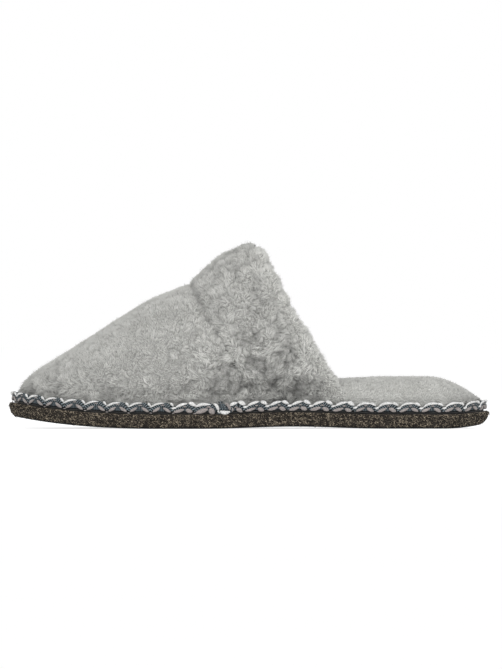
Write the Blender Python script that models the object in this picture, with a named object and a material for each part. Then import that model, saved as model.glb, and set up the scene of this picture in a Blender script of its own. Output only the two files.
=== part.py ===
"""Fluffy mule slipper for a left foot: felt sole, padded insole, two-piece fleece upper and braid trim.

The toe points along -X, the outer side of the foot faces -Y, and the slipper stands on z = 0.
Places along the slipper are called t: the distance from the toe tip. All sizes are in metres.
"""

import math

import bmesh
import bpy
from mathutils import Vector

MM = 0.001

# Driving dimensions
LENGTH = 270 * MM
TREAD_THICKNESS = 0.8 * MM
FELT_THICKNESS = 6.9 * MM
BOARD_THICKNESS = 1.5 * MM
BRAID_HEIGHT = 5.9 * MM
FLEECE_THICKNESS = 5.2 * MM
INTERLINING_THICKNESS = 1.2 * MM
LINING_THICKNESS = 3.4 * MM
ROLL_RADIUS = 6.0 * MM
ROLL_GAP = 1.0 * MM
ROLL_END_TURN = 0.065
ROLL_FOOT_HEIGHT, ROLL_FOOT_THINNING, ROLL_FOOT_DRAW = 0.35, 0.2, 1.3 * MM
GAP = 0.3 * MM
LAYER_GAP = 0.6 * MM

# Plan outline of the sole, in millimetres, as (t, half width) and (t, y of the middle line)
HALF_WIDTHS = [(0, 44), (45, 45.5), (88, 47.8), (130, 41.5), (165, 36.2), (200, 34.4), (235, 34.8)]
MIDDLES = [(0, 7), (45, 3.5), (88, -0.8), (130, -2.5), (165, -1.8), (200, -0.5), (235, 0)]
TOE_ROUND, TOE_POWER = 58 * MM, 2.2
HEEL_ROUND, HEEL_POWER = 36 * MM, 2.1
BLUNT_END = 0.1 * MM

# How far the sole's underside lifts off the floor
TOE_SPRING, TOE_SPRING_END, TOE_SPRING_POWER = 6.8 * MM, 85 * MM, 2.2
ARCH_LIFT, ARCH_START, ARCH_END = 1.2 * MM, 108 * MM, 212 * MM
HEEL_LIFT, HEEL_LIFT_START = 2.0 * MM, 245 * MM

# Heights above the sole's underside
FELT_BASE = TREAD_THICKNESS + GAP
FELT_TOP = FELT_BASE + FELT_THICKNESS
BOARD_BASE = FELT_TOP + GAP
UPPER_BASE = BOARD_BASE + BOARD_THICKNESS + GAP
BRAID_BASE = FELT_TOP + 1.6 * MM
BRAID_TOP = BRAID_BASE + BRAID_HEIGHT

# Distances in from the sole's edge
TREAD_INSET = 0.6 * MM
TAPE_INSET, TAPE_THICKNESS = 2.9 * MM, 1.2 * MM
CORD_INSET, CORD_RADIUS = 1.8 * MM, 0.8 * MM
FLEECE_INSET = TAPE_INSET + TAPE_THICKNESS + GAP
INTERLINING_INSET = FLEECE_INSET + FLEECE_THICKNESS + LAYER_GAP
LINING_INSET = INTERLINING_INSET + INTERLINING_THICKNESS + LAYER_GAP
CAVITY_INSET = LINING_INSET + LINING_THICKNESS
ROLL_INSET = FLEECE_INSET + 4 * MM

# The upper: height of its ridge in millimetres as (t, z), and the shape of its arch
RIDGE = [(0, 26), (11, 30.2), (28, 40), (52, 55.6), (79, 72.3), (102, 82), (125, 95), (150, 105), (205, 124)]
NOSE_ROUND = 8 * MM
SIDE_POWER, TOP_POWER = 2.2, 1.7
RIDGE_SHIFT = 3 * MM
OVERHANG, OVERHANG_HEIGHT, OVERHANG_START = 3.5 * MM, 20 * MM, 9 * MM
BAND_SWELL, SWELL_START, SWELL_FULL = 5.5 * MM, 9 * MM, 20 * MM
SEAM_TOP_T, SEAM_TOP_Z, SEAM_SLANT = 102 * MM, 82 * MM, 0.55
SEAM_GAP = 1.6 * MM
TOPLINE_T, TOPLINE_Z, TOPLINE_SLANT, TOPLINE_CURVE = 146.3 * MM, 97.4 * MM, 0.45, 1.9

# The padded insole: height of its top along the middle, in millimetres as (t, z)
INSOLE_TOPS = [(14, 17.5), (40, 19.5), (90, 22.5), (140, 26), (187, 28.4), (215, 29.5), (240, 29.5)]
INSOLE_EDGE, INSOLE_TOE_EDGE = 6.2 * MM, 3.2 * MM
INSOLE_PILE = 7.5 * MM
INSOLE_TOE_INSET, INSOLE_TOE_END = CAVITY_INSET + 5 * MM, 50 * MM
INSOLE_SIDE_INSET, INSOLE_SIDE_START = CAVITY_INSET + LAYER_GAP, 110 * MM
INSOLE_WIDENS_FROM, INSOLE_WIDENS_TO = 201 * MM, 208 * MM
HEEL_DOME_START, HEEL_DOME_POWER = 231 * MM, 3
FOAM_EDGE = 1.5 * MM

# Trim and threads
PERIOD = 12.3 * MM
JOIN_T, JOIN_WIDTH = 119 * MM, 9 * MM
THREAD_RADIUS = 0.5 * MM

# Mesh detail
SOLE_STATIONS = 30
RIM_STATIONS = 180
TAPE_STEPS = 96
SEARCH_STEPS = 40
MERGE_DISTANCE = 0.02 * MM
INSOLE_COLUMNS = 8
ARCH_COLUMNS = 22
BASE_CROWDING = 0.75
VAMP_ROWS, BAND_ROWS, LINING_ROWS = 13, 6, 15

COLOURS = {
    "fleece": (0.42, 0.43, 0.41, 1),
    "lining": (0.48, 0.49, 0.47, 1),
    "felt": (0.10, 0.08, 0.065, 1),
    "tread": (0.02, 0.02, 0.02, 1),
    "foam": (0.75, 0.74, 0.68, 1),
    "board": (0.55, 0.48, 0.36, 1),
    "interlining": (0.80, 0.80, 0.78, 1),
    "slate_yarn": (0.055, 0.07, 0.08, 1),
    "white_yarn": (0.80, 0.80, 0.80, 1),
    "rose_yarn": (0.33, 0.28, 0.27, 1),
    "thread": (0.03, 0.03, 0.03, 1),
}


# ---------------------------------------------------------------- shape functions


def through(points, t):
    """The value at t of a smooth curve through (t, value) points given in millimetres."""
    t = t / MM
    last = len(points) - 1
    i = next((k for k in range(last) if t <= points[k + 1][0]), last - 1)
    (t0, v0), (t1, v1) = points[i], points[i + 1]
    before, after = points[max(i - 1, 0)], points[min(i + 2, last)]
    slope0 = (v1 - before[1]) / (t1 - before[0])
    slope1 = (after[1] - v0) / (after[0] - t0)
    step = t1 - t0
    s = min(max((t - t0) / step, 0), 1)
    value = (
        (2 * s**3 - 3 * s**2 + 1) * v0
        + (s**3 - 2 * s**2 + s) * step * slope0
        + (3 * s**2 - 2 * s**3) * v1
        + (s**3 - s**2) * step * slope1
    )
    return value * MM


def smooth_step(low, high, value):
    share = min(max((value - low) / (high - low), 0), 1)
    return share * share * (3 - 2 * share)


def rounded_end(share, power):
    """0 at the tip of a rounded end, rising to 1 where the sides run on."""
    share = min(max(share, 0), 1)
    return (1 - (1 - share) ** power) ** (1 / power)


def half_width(t, inset=0.0):
    """Half the sole's width at t, drawn in from its edge by inset."""
    toe = rounded_end((t - inset) / (TOE_ROUND - inset), TOE_POWER)
    heel = rounded_end((LENGTH - inset - t) / (HEEL_ROUND - inset), HEEL_POWER)
    return (through(HALF_WIDTHS, t) - inset) * toe * heel


def widest(side):
    """How far the sole's edge reaches from the drawing's middle line on one side, 1 or -1."""
    spots = [i * MM for i in range(round(LENGTH / MM) + 1)]
    return max(side * through(MIDDLES, t) + half_width(t) for t in spots)


Y_SHIFT = (widest(1) - widest(-1)) / 2


def middle(t):
    """Where the sole's middle line lies at t, with the widest points the same distance from y = 0."""
    return through(MIDDLES, t) - Y_SHIFT


def lift(t):
    """Height of the sole's underside above the floor."""
    toe = TOE_SPRING * max(0, 1 - t / TOE_SPRING_END) ** TOE_SPRING_POWER
    arch_share = min(max((t - ARCH_START) / (ARCH_END - ARCH_START), 0), 1)
    arch = ARCH_LIFT * math.sin(math.pi * arch_share) ** 2
    heel_share = max(0, t - HEEL_LIFT_START) / (LENGTH - HEEL_LIFT_START)
    return toe + arch + HEEL_LIFT * heel_share**2


def place(t, y, height):
    """World point from a place along the slipper, a y and a height above the sole's underside."""
    return Vector((t - LENGTH / 2, y, height + lift(t)))


# ---------------------------------------------------------------- the upper's arch


def arch_point(t, turn, inset, swell=0.0):
    """A point of the upper's arch at t. turn runs from 0 at the outer side's foot to pi at the inner's."""
    depth = inset - FLEECE_INSET
    ridge = through(RIDGE, t) - lift(t) - depth - UPPER_BASE
    height = ridge * rounded_end((t - inset) / NOSE_ROUND, 2)
    width = half_width(t, inset)
    across, up = -math.cos(turn), max(0, math.sin(turn))
    side = math.copysign(abs(across) ** (2 / SIDE_POWER), across)
    rise = height * up ** (2 / TOP_POWER)
    share = rise / max(height, MM)
    above = max(0, rise - OVERHANG_START) / OVERHANG_HEIGHT
    overhang = OVERHANG * above * math.exp(1 - above) * rounded_end((t - inset) / TOE_ROUND, 2)
    puff = swell * smooth_step(SWELL_START, SWELL_FULL, rise)
    y = middle(t) + side * (width + overhang + puff) + RIDGE_SHIFT * share**2
    return place(t, y, UPPER_BASE + rise + puff * share**2)


def where_arch_meets(turn, inset, limit):
    """The t at which the arch's line at this turn reaches a cut, which limit(z) gives as a t."""
    low, high = inset, LENGTH - HEEL_ROUND
    for _ in range(SEARCH_STEPS):
        t = (low + high) / 2
        if t < limit(arch_point(t, turn, inset).z):
            low = t
        else:
            high = t
    return low


def seam(z):
    """The seam between vamp and band, which slants back towards the sole."""
    return SEAM_TOP_T + (SEAM_TOP_Z - z) * SEAM_SLANT


def topline(z, back=0.0):
    """The edge of the foot opening, which slants back towards the sole, or a line that far in front of it."""
    drop = TOPLINE_Z - z
    edge = TOPLINE_T + drop * TOPLINE_SLANT + max(0, drop) ** 2 * TOPLINE_CURVE
    return edge - back * math.hypot(1, TOPLINE_SLANT + 2 * TOPLINE_CURVE * max(0, drop))


def seam_end(z):
    return seam(z) - SEAM_GAP / 2


def seam_start(z):
    return seam(z) + SEAM_GAP / 2


def roll_middle(z):
    return topline(z, ROLL_RADIUS)


def roll_start(z):
    return topline(z, 2 * ROLL_RADIUS + ROLL_GAP)


def turns():
    """Steps over the arch, closer together near the sole, where the upper passes the braid."""
    shares = [j / ARCH_COLUMNS for j in range(ARCH_COLUMNS + 1)]
    return [math.pi * (s - BASE_CROWDING * math.sin(2 * math.pi * s) / (2 * math.pi)) for s in shares]


def toe_grid(inset, limit, rows):
    """Rows of arch points from the toe tip back to a cut."""
    grid = []
    for i in range(rows + 1):
        share = 1 - math.cos(math.pi / 2 * i / rows)
        row = []
        for turn in turns():
            end = where_arch_meets(turn, inset, limit)
            row.append(arch_point(inset + (end - inset) * share, turn, inset))
        grid.append(row)
    return grid


def band_grid(inset, swell):
    """Rows of arch points from the seam back to the topline roll, swelling out behind the seam."""
    grid = []
    for i in range(BAND_ROWS + 1):
        share = i / BAND_ROWS
        puff = swell * (1 - (1 - share) ** 4)
        row = []
        for turn in turns():
            start = where_arch_meets(turn, inset, seam_start)
            end = where_arch_meets(turn, inset, roll_start)
            row.append(arch_point(start + (end - start) * share, turn, inset, puff))
        grid.append(row)
    return grid


# ---------------------------------------------------------------- the insole


def insole_inset(t):
    """The insole stays clear of the lining inside the upper, and reaches the braid behind it."""
    widening = smooth_step(INSOLE_TOE_END, INSOLE_SIDE_START, t)
    inside = INSOLE_TOE_INSET + (INSOLE_SIDE_INSET - INSOLE_TOE_INSET) * widening
    return inside + (FLEECE_INSET - inside) * smooth_step(INSOLE_WIDENS_FROM, INSOLE_WIDENS_TO, t)


def insole_rise(t, across):
    """Height of the insole's top above the board. It is a dome that is flat in the middle."""
    end = max(0, t - HEEL_DOME_START) / (LENGTH - FLEECE_INSET - HEEL_DOME_START)
    full = through(INSOLE_TOPS, t) - lift(t) - UPPER_BASE
    dome = full * (1 - abs(across) ** 4) * (1 - min(end, 1) ** HEEL_DOME_POWER)
    widening = smooth_step(INSOLE_TOE_END, INSOLE_SIDE_START, t)
    edge = INSOLE_TOE_EDGE + (INSOLE_EDGE - INSOLE_TOE_EDGE) * widening
    return max(edge, dome)


def foam_rise(t, across):
    """Height of the foam's top above the board."""
    return max(FOAM_EDGE, insole_rise(t, across) - INSOLE_PILE)


# ---------------------------------------------------------------- Blender objects


def material(slot):
    found = bpy.data.materials.get(slot)
    if found is None:
        found = bpy.data.materials.new(slot)
        found.use_nodes = True
        shader = found.node_tree.nodes["Principled BSDF"]
        shader.inputs["Base Color"].default_value = COLOURS[slot]
        shader.inputs["Roughness"].default_value = 0.95
        shader.inputs["Metallic"].default_value = 0.0
    return found


def add_object(name, data, slot, parts):
    obj = bpy.data.objects.new(name, data)
    data.materials.append(material(slot))
    parts.objects.link(obj)
    return obj


def loft_between(name, front, back, slot, parts, ring=False):
    """A closed solid between two grids of points of one size. In a ring, the last row joins the first."""
    mesh = bpy.data.meshes.new(name)
    work = bmesh.new()
    faces = [[[work.verts.new(p) for p in row] for row in grid] for grid in (front, back)]
    rows, columns = len(front), len(front[0])
    for i in range(rows if ring else rows - 1):
        here, there = i, (i + 1) % rows
        for j in range(columns - 1):
            for side in faces:
                work.faces.new((side[here][j], side[there][j], side[there][j + 1], side[here][j + 1]))
        for j in (0, columns - 1):
            work.faces.new((faces[0][here][j], faces[0][there][j], faces[1][there][j], faces[1][here][j]))
    for i in () if ring else (0, rows - 1):
        for j in range(columns - 1):
            work.faces.new((faces[0][i][j], faces[0][i][j + 1], faces[1][i][j + 1], faces[1][i][j]))
    bmesh.ops.remove_doubles(work, verts=work.verts, dist=MERGE_DISTANCE)
    bmesh.ops.dissolve_degenerate(work, edges=work.edges, dist=MERGE_DISTANCE / 20)
    bmesh.ops.recalc_face_normals(work, faces=work.faces)
    work.to_mesh(mesh)
    work.free()
    return add_object(name, mesh, slot, parts)


def tube(name, points, radius, slot, parts, sides=1, ring=False, scales=None):
    """A thread, cord or roll along points, as a curve with a round bevel and filled ends."""
    data = bpy.data.curves.new(name, "CURVE")
    data.dimensions = "3D"
    data.bevel_depth = radius
    data.bevel_resolution = sides
    data.use_fill_caps = True
    line = data.splines.new("POLY")
    line.points.add(len(points) - 1)
    for spot, point in zip(line.points, points):
        spot.co = (*point, 1)
    for spot, scale in zip(line.points, scales or []):
        spot.radius = scale
    line.use_cyclic_u = ring
    return add_object(name, data, slot, parts)


def stations(start, end, count):
    """Places from start to end, closer together at both ends."""
    return [start + (end - start) * (1 - math.cos(math.pi * i / count)) / 2 for i in range(count + 1)]


def slab(name, inset, low, high, columns, slot, parts):
    """A sole-shaped layer. inset(t) draws its edge in, and low and high(t, y, across) give its two faces."""
    top, bottom = [], []
    for t in stations(inset(0) + BLUNT_END, LENGTH - inset(LENGTH) - BLUNT_END, SOLE_STATIONS):
        reach = half_width(t, inset(t))
        shares = [2 * j / columns - 1 for j in range(columns + 1)]
        shares = [math.sin(math.pi / 2 * s) for s in shares]
        spots = [(t, middle(t) + s * reach, s) for s in shares]
        top.append([place(t, y, high(t, y, s)) for t, y, s in spots])
        bottom.append([place(t, y, low(t, y, s)) for t, y, s in spots])
    return loft_between(name, top, bottom, slot, parts)


def flat(height):
    return lambda t, y, across: height


def edge_all_round(inset):
    return lambda t: inset


# ---------------------------------------------------------------- the sole's rim


def rim(inset):
    """Points (t, y) round the sole's edge, drawn in by inset, starting and ending at the braid's join."""
    ends = stations(inset, LENGTH - inset, RIM_STATIONS)
    outer = [(t, middle(t) - half_width(t, inset)) for t in ends]
    inner = [(t, middle(t) + half_width(t, inset)) for t in ends]
    ring = outer[::-1] + inner[1:-1]
    first = min(range(len(outer)), key=lambda i: abs(ring[i][0] - JOIN_T))
    return ring[first:] + ring[: first + 1]


def evenly(path, count):
    """count + 1 points at equal steps along a path of (t, y) points."""
    lengths = [0.0]
    for a, b in zip(path, path[1:]):
        lengths.append(lengths[-1] + math.dist(a, b))
    spots, i = [], 0
    for k in range(count + 1):
        goal = lengths[-1] * k / count
        while i < len(path) - 2 and lengths[i + 1] < goal:
            i += 1
        share = (goal - lengths[i]) / max(lengths[i + 1] - lengths[i], 1e-9)
        spots.append([a + (b - a) * share for a, b in zip(path[i], path[i + 1])])
    return spots


def zigzag(low, high):
    """A cord's line round the rim between two heights, one wave to each period, clear of the join."""
    path = rim(CORD_INSET)
    waves = round(sum(math.dist(a, b) for a, b in zip(path, path[1:])) / PERIOD)
    spots = evenly(path, waves * 2)
    points = []
    for k, (t, y) in enumerate(spots[1:-1], start=1):
        height = low if k % 2 else high
        points.append(place(t, y, height))
    return points


# ---------------------------------------------------------------- sub-parts


def make_sole(parts):
    slab("tread_sole", edge_all_round(TREAD_INSET), flat(0), flat(TREAD_THICKNESS), 2, "tread", parts)
    slab("felt_sole", edge_all_round(0), flat(FELT_BASE), flat(FELT_TOP), 2, "felt", parts)
    board_top = BOARD_BASE + BOARD_THICKNESS
    slab("insole_board", edge_all_round(FLEECE_INSET), flat(BOARD_BASE), flat(board_top), 2, "board", parts)


def make_insole(parts):
    def foam_top(t, y, across):
        return UPPER_BASE + foam_rise(t, across)

    def pile_low(t, y, across):
        return foam_top(t, y, across) + LAYER_GAP

    def pile_high(t, y, across):
        return UPPER_BASE + insole_rise(t, across)

    slab("footbed_foam", insole_inset, flat(UPPER_BASE), foam_top, INSOLE_COLUMNS, "foam", parts)
    slab("insole_fleece", insole_inset, pile_low, pile_high, INSOLE_COLUMNS, "lining", parts)


def make_upper(parts):
    fleece_back = FLEECE_INSET + FLEECE_THICKNESS
    loft_between(
        "vamp_fleece",
        toe_grid(FLEECE_INSET, seam_end, VAMP_ROWS),
        toe_grid(fleece_back, seam_end, VAMP_ROWS),
        "fleece",
        parts,
    )
    loft_between(
        "band_fleece", band_grid(FLEECE_INSET, BAND_SWELL), band_grid(fleece_back, 0), "fleece", parts
    )
    loft_between(
        "upper_interlining",
        toe_grid(INTERLINING_INSET, roll_start, LINING_ROWS),
        toe_grid(INTERLINING_INSET + INTERLINING_THICKNESS, roll_start, LINING_ROWS),
        "interlining",
        parts,
    )
    loft_between(
        "upper_lining",
        toe_grid(LINING_INSET, roll_start, LINING_ROWS),
        toe_grid(CAVITY_INSET, roll_start, LINING_ROWS),
        "lining",
        parts,
    )


def make_topline_roll(parts):
    """The padded fold of fleece round the foot opening. It thins towards the sole, behind the braid."""
    points, scales = [], []
    steps = 2 * ARCH_COLUMNS
    for j in range(steps + 1):
        turn = ROLL_END_TURN + (math.pi - 2 * ROLL_END_TURN) * j / steps
        foot = 1 - smooth_step(0, ROLL_FOOT_HEIGHT, math.sin(turn))
        inset = ROLL_INSET + ROLL_FOOT_DRAW * foot
        points.append(arch_point(where_arch_meets(turn, inset, roll_middle), turn, inset))
        scales.append(1 - ROLL_FOOT_THINNING * foot)
    tube("topline_roll", points, ROLL_RADIUS, "fleece", parts, sides=2, scales=scales)


def arch_thread(name, inset, limit, parts):
    """A sewing thread that follows a cut over the arch."""
    steps = 2 * ARCH_COLUMNS
    points = []
    for j in range(1, steps):
        turn = math.pi * j / steps
        points.append(arch_point(where_arch_meets(turn, inset, limit), turn, inset))
    tube(name, points, THREAD_RADIUS, "thread", parts, sides=0)


def make_braid(parts):
    spots = evenly(rim(TAPE_INSET), TAPE_STEPS)[:-1]
    inner = evenly(rim(TAPE_INSET + TAPE_THICKNESS), TAPE_STEPS)[:-1]
    heights = (BRAID_BASE, BRAID_TOP)
    loft_between(
        "braid_tape",
        [[place(t, y, h) for h in heights] for t, y in spots],
        [[place(t, y, h) for h in heights] for t, y in inner],
        "slate_yarn",
        parts,
        ring=True,
    )
    half = (BRAID_BASE + BRAID_TOP) / 2
    clear = CORD_RADIUS + GAP / 2
    tube("braid_white_cord", zigzag(half + clear, BRAID_TOP - CORD_RADIUS), CORD_RADIUS, "white_yarn", parts)
    tube("braid_rose_cord", zigzag(BRAID_BASE + CORD_RADIUS, half - clear), CORD_RADIUS, "rose_yarn", parts)


def make_braid_join(parts):
    """The folded tab that covers the braid's two ends on the outer side."""
    front, back = [], []
    for share in (-0.5, 0.5):
        t = JOIN_T + share * JOIN_WIDTH
        for grid, inset in ((front, CORD_INSET - CORD_RADIUS), (back, TAPE_INSET - GAP)):
            y = middle(t) - half_width(t, inset)
            grid.append([place(t, y, h) for h in (BRAID_BASE, BRAID_TOP)])
    loft_between("braid_join_tab", front, back, "slate_yarn", parts)


def make_sole_thread(parts):
    """The row of sewing between the felt and the braid."""
    height = (FELT_TOP + BRAID_BASE) / 2
    spots = evenly(rim(TAPE_INSET), TAPE_STEPS)[:-1]
    points = [place(t, y, height) for t, y in spots]
    tube("sole_seam_thread", points, THREAD_RADIUS, "thread", parts, sides=0, ring=True)


def main():
    for obj in list(bpy.data.objects):
        bpy.data.objects.remove(obj)
    parts = bpy.data.collections.new("fluffy_slipper")
    bpy.context.scene.collection.children.link(parts)
    make_sole(parts)
    make_insole(parts)
    make_upper(parts)
    make_topline_roll(parts)
    arch_thread("vamp_seam_thread", FLEECE_INSET + FLEECE_THICKNESS / 2, seam, parts)
    make_braid(parts)
    make_braid_join(parts)
    make_sole_thread(parts)


main()
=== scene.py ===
"""Looks of the fluffy slipper: fleece grown as real fibres, a plaited braid, a felt sole, and the studio.

The toe points along -X and the outer side of the foot faces -Y. Places along the slipper are called t,
the distance from the toe tip, and heights are counted from the sole's underside, as in the CAD model.
"""

import itertools
import math

import bmesh
import bpy
import numpy as np
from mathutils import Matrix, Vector, kdtree


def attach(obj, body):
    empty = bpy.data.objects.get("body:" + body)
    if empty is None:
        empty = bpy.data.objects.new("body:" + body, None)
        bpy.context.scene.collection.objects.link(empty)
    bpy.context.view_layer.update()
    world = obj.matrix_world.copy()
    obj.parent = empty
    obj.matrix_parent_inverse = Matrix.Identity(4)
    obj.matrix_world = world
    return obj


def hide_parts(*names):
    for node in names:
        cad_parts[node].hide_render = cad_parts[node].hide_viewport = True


MM = 0.001

# ---- sizes shared with the CAD model

LENGTH = 270 * MM
HALF_WIDTHS = [(0, 44), (45, 45.5), (88, 47.8), (130, 41.5), (165, 36.2), (200, 34.4), (235, 34.8)]
MIDDLES = [(0, 7), (45, 3.5), (88, -0.8), (130, -2.5), (165, -1.8), (200, -0.5), (235, 0)]
TOE_ROUND, TOE_POWER = 58 * MM, 2.2
HEEL_ROUND, HEEL_POWER = 36 * MM, 2.1
TOE_SPRING, TOE_SPRING_END, TOE_SPRING_POWER = 6.8 * MM, 85 * MM, 2.2
ARCH_LIFT, ARCH_START, ARCH_END = 1.2 * MM, 108 * MM, 212 * MM
HEEL_LIFT, HEEL_LIFT_START = 2.0 * MM, 245 * MM
TREAD_TOP = 0.8 * MM
FELT_BASE, FELT_TOP = 1.1 * MM, 8.0 * MM
UPPER_BASE = 10.1 * MM
TAPE_INSET = 2.9 * MM
FLEECE_INSET = 4.4 * MM
LINING_INSET = 12.0 * MM
CAVITY_INSET = 15.4 * MM
RIDGE = [(0, 26), (11, 30.2), (28, 40), (52, 55.6), (79, 72.3), (102, 82), (125, 95), (150, 105), (205, 124)]
NOSE_ROUND = 8 * MM
SIDE_POWER, TOP_POWER = 2.2, 1.7
RIDGE_SHIFT = 3 * MM
OVERHANG, OVERHANG_HEIGHT, OVERHANG_START = 3.5 * MM, 20 * MM, 9 * MM
BAND_SWELL, SWELL_START, SWELL_FULL = 5.5 * MM, 9 * MM, 20 * MM
SEAM_TOP_T, SEAM_TOP_Z, SEAM_SLANT = 102 * MM, 82 * MM, 0.55
TOPLINE_T, TOPLINE_Z, TOPLINE_SLANT, TOPLINE_CURVE = 146.3 * MM, 97.4 * MM, 0.45, 1.9
ROLL_RADIUS = 6 * MM
ROLL_INSET, ROLL_END_TURN = 8.4 * MM, 0.065
ROLL_FOOT_HEIGHT, ROLL_FOOT_THINNING, ROLL_FOOT_DRAW = 0.35, 0.2, 1.3 * MM
INSOLE_TOPS = [(14, 17.5), (40, 19.5), (90, 22.5), (140, 26), (187, 28.4), (215, 29.5), (240, 29.5)]
JOIN_T = 119.5 * MM

# ---- sizes of the looks

PILE_DEPTH = 2.0 * MM
PILE_INSET = FLEECE_INSET + PILE_DEPTH
GROUND_DEPTH = 2.6 * MM
ROOT_DEPTH = 0.3 * MM
FIBRES_PER_PIECE = 19000
FLEECE_TUFT, FLEECE_RELIEF = 3.8 * MM, 0.8 * MM
FINE_TUFT, FINE_RELIEF = 3.4 * MM, 0.5 * MM
ROLL_TUFT, ROLL_RELIEF, ROLL_BOLDNESS = 4.0 * MM, 1.7 * MM, 0.45
HEEL_SLOPE_START, HEEL_SLOPE_POWER, HEEL_SLOPE = 236 * MM, 1.9, 0.80

CAMERA_DISTANCE = 6.0
CAMERA_TARGET = Vector((0.0011, -0.020, 0.0529))
FRAME_HEIGHT = 0.3763
SENSOR = 36
FLOOR_REACH, FLOOR_GLOW = 30.0, 0.62
AMBIENT_LEVEL = 0.78
LAMPS_AIM = Vector((0, 0, 0.04))

random = np.random.default_rng(7)


# ---- shape functions, as in the CAD model


def through(points, t):
    """Values at t of a smooth curve through (t, value) points given in millimetres."""
    knots, values = np.array(points, float).T
    slopes = np.gradient(values, knots)
    slopes[1:-1] = (values[2:] - values[:-2]) / (knots[2:] - knots[:-2])
    t = np.asarray(t, float) / MM
    i = np.clip(np.searchsorted(knots, t) - 1, 0, len(knots) - 2)
    step = knots[i + 1] - knots[i]
    s = np.clip((t - knots[i]) / step, 0, 1)
    value = (
        (2 * s**3 - 3 * s**2 + 1) * values[i]
        + (s**3 - 2 * s**2 + s) * step * slopes[i]
        + (3 * s**2 - 2 * s**3) * values[i + 1]
        + (s**3 - s**2) * step * slopes[i + 1]
    )
    return value * MM


def smooth_step(low, high, value):
    share = np.clip((value - low) / (high - low), 0, 1)
    return share * share * (3 - 2 * share)


def rounded_end(share, power):
    share = np.clip(share, 0, 1)
    return (1 - (1 - share) ** power) ** (1 / power)


def half_width(t, inset=0.0):
    toe = rounded_end((t - inset) / (TOE_ROUND - inset), TOE_POWER)
    heel = rounded_end((LENGTH - inset - t) / (HEEL_ROUND - inset), HEEL_POWER)
    return (through(HALF_WIDTHS, t) - inset) * toe * heel


def y_shift():
    t = np.arange(271) * MM
    return (np.max(through(MIDDLES, t) + half_width(t)) - np.max(half_width(t) - through(MIDDLES, t))) / 2


Y_SHIFT = y_shift()


def middle(t):
    return through(MIDDLES, t) - Y_SHIFT


def lift(t):
    toe = TOE_SPRING * np.maximum(0, 1 - t / TOE_SPRING_END) ** TOE_SPRING_POWER
    arch_share = np.clip((t - ARCH_START) / (ARCH_END - ARCH_START), 0, 1)
    arch = ARCH_LIFT * np.sin(np.pi * arch_share) ** 2
    heel_share = np.maximum(0, t - HEEL_LIFT_START) / (LENGTH - HEEL_LIFT_START)
    return toe + arch + HEEL_LIFT * heel_share**2


def place(t, y, height):
    t, y, height = np.broadcast_arrays(t, y, height)
    return np.stack([t - LENGTH / 2, y, height + lift(t)], -1)


def arch(t, turn, inset, swell=0.0):
    """Points of the upper's arch at t. turn runs from 0 at the outer side's foot to pi at the inner's."""
    depth = inset - FLEECE_INSET
    ridge = through(RIDGE, t) - lift(t) - depth - UPPER_BASE
    height = ridge * rounded_end((t - inset) / NOSE_ROUND, 2)
    width = half_width(t, inset)
    across, up = -np.cos(turn), np.clip(np.sin(turn), 0, 1)
    side = np.copysign(np.abs(across) ** (2 / SIDE_POWER), across)
    rise = height * up ** (2 / TOP_POWER)
    share = rise / np.maximum(height, MM)
    above = np.maximum(0, rise - OVERHANG_START) / OVERHANG_HEIGHT
    overhang = OVERHANG * above * np.exp(1 - above) * rounded_end((t - inset) / TOE_ROUND, 2)
    puff = swell * smooth_step(SWELL_START, SWELL_FULL, rise)
    y = middle(t) + side * (width + overhang + puff) + RIDGE_SHIFT * share**2
    return place(t, y, UPPER_BASE + rise + puff * share**2)


def where_arch_meets(turn, inset, limit):
    """The t at which the arch's line at each turn reaches a cut, which limit(z) gives as a t."""
    low = np.full(np.shape(turn), float(inset))
    high = np.full(np.shape(turn), LENGTH - HEEL_ROUND)
    for _ in range(40):
        t = (low + high) / 2
        before = t < limit(arch(t, turn, inset)[..., 2])
        low, high = np.where(before, t, low), np.where(before, high, t)
    return low


def seam(z):
    return SEAM_TOP_T + (SEAM_TOP_Z - z) * SEAM_SLANT


def topline(z, back=0.0):
    drop = TOPLINE_Z - z
    edge = TOPLINE_T + drop * TOPLINE_SLANT + np.maximum(0, drop) ** 2 * TOPLINE_CURVE
    return edge - back * np.hypot(1, TOPLINE_SLANT + 2 * TOPLINE_CURVE * np.maximum(0, drop))


# ---- noise


def hashed(cells, seed):
    """A number from 0 to 1 for each whole-number cell."""
    steps = np.array([73856093, 19349663, 83492791])
    mixed = ((cells.astype(np.int64) * steps).sum(-1) + seed * 2654435).astype(np.uint64)
    mixed = (mixed ^ (mixed >> np.uint64(15))) * np.uint64(0x2C1B3C6D)
    mixed = (mixed ^ (mixed >> np.uint64(12))) * np.uint64(0x297A2D39)
    mixed = mixed ^ (mixed >> np.uint64(15))
    return (mixed & np.uint64(0xFFFFFF)).astype(float) / 0xFFFFFF


def cloud(points, size, seed):
    """Smooth noise from 0 to 1 with features of one size."""
    spots = points.reshape(-1, 3) / size
    cells = np.floor(spots)
    share = spots - cells
    share = share * share * (3 - 2 * share)
    total = np.zeros(len(spots))
    for corner in itertools.product((0, 1), repeat=3):
        weight = np.prod(np.where(corner, share, 1 - share), axis=1)
        total += weight * hashed(cells + corner, seed)
    return total.reshape(points.shape[:-1])


def drifting(points, size, seeds):
    """Smooth random directions with features of one size."""
    return np.stack([cloud(points, size, seed) for seed in seeds], -1) - 0.5


def unit(vectors):
    return vectors / np.maximum(np.linalg.norm(vectors, axis=-1, keepdims=True), 1e-12)


# ---- meshes


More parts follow.
